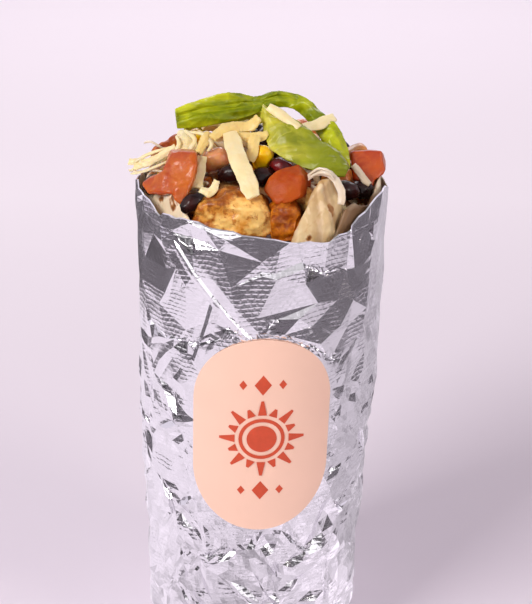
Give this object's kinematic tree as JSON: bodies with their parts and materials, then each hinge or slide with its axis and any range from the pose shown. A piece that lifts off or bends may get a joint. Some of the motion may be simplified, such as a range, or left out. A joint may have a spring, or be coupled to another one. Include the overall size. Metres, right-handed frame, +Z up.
{
  "type": "burrito",
  "caption": "Burrito standing on its folded end in crumpled foil with an oval label, open at the top with its filling heaped over the rim.",
  "frame": {"origin": "centre of the flat spot under the folded end, on which it stands", "axes": "+Z up along the burrito, -Y towards the side with the label, +X to the right as seen from that side"},
  "size_m": [0.0811, 0.0797, 0.1927],
  "materials": {
    "foil": "crumpled, polished kitchen foil with sharp creases and a fine embossed pattern",
    "label": "matt peach paper sticker with an orange-red printed sunburst",
    "tortilla": "soft, floury flatbread with brown griddle spots",
    "filling": "moist rice, beans and fine shreds in sauce",
    "chicken": "grilled meat, golden with browned edges, moist",
    "tomato": "wet diced tomato, orange-red and slightly translucent",
    "bean": "glossy black bean skin",
    "kidney_bean": "glossy maroon bean skin",
    "corn": "wet yellow sweetcorn",
    "cheese": "pale yellow grated cheese, satin",
    "onion": "wet, pale, slightly translucent onion",
    "lettuce": "fresh green leaf with paler ribs, slightly glossy"
  },
  "bodies": {
    "root": {"foil_wrap": "foil", "label": "label", "tortilla_wrap": "tortilla", "tortilla_flap": "tortilla", "lettuce_arch": "lettuce", "lettuce_blade": "lettuce", "lettuce_back": "lettuce", "cheese_front": "cheese", "cheese_bow": "cheese", "cheese_drop": "cheese", "cheese_thin": "cheese", "cheese_slab": "cheese", "cheese_left": "cheese", "cheese_left_low": "cheese", "cheese_middle": "cheese", "cheese_curl": "cheese", "cheese_on_leaf": "cheese", "cheese_over_arch": "cheese", "cheese_crown": "cheese", "cheese_back": "cheese", "cheese_back_low": "cheese", "onion_over_flap": "onion", "onion_right": "onion", "chicken_main": "chicken", "chicken_side": "chicken", "chicken_back": "chicken", "chicken_strip": "chicken", "chicken_shred": "chicken", "tomato_left": "tomato", "tomato_centre": "tomato", "tomato_right": "tomato", "tomato_corner": "tomato", "tomato_pale": "tomato", "tomato_under": "tomato", "tomato_back": "tomato", "tomato_back_left": "tomato", "bean_front": "bean", "bean_left": "bean", "bean_middle": "bean", "bean_centre": "bean", "bean_right": "bean", "bean_far_right": "bean", "bean_back": "bean", "kidney_bean": "kidney_bean", "corn_front": "corn", "corn_upper": "corn", "corn_left": "corn", "corn_back": "corn", "filling": "filling"}
  },
  "joints": []
}
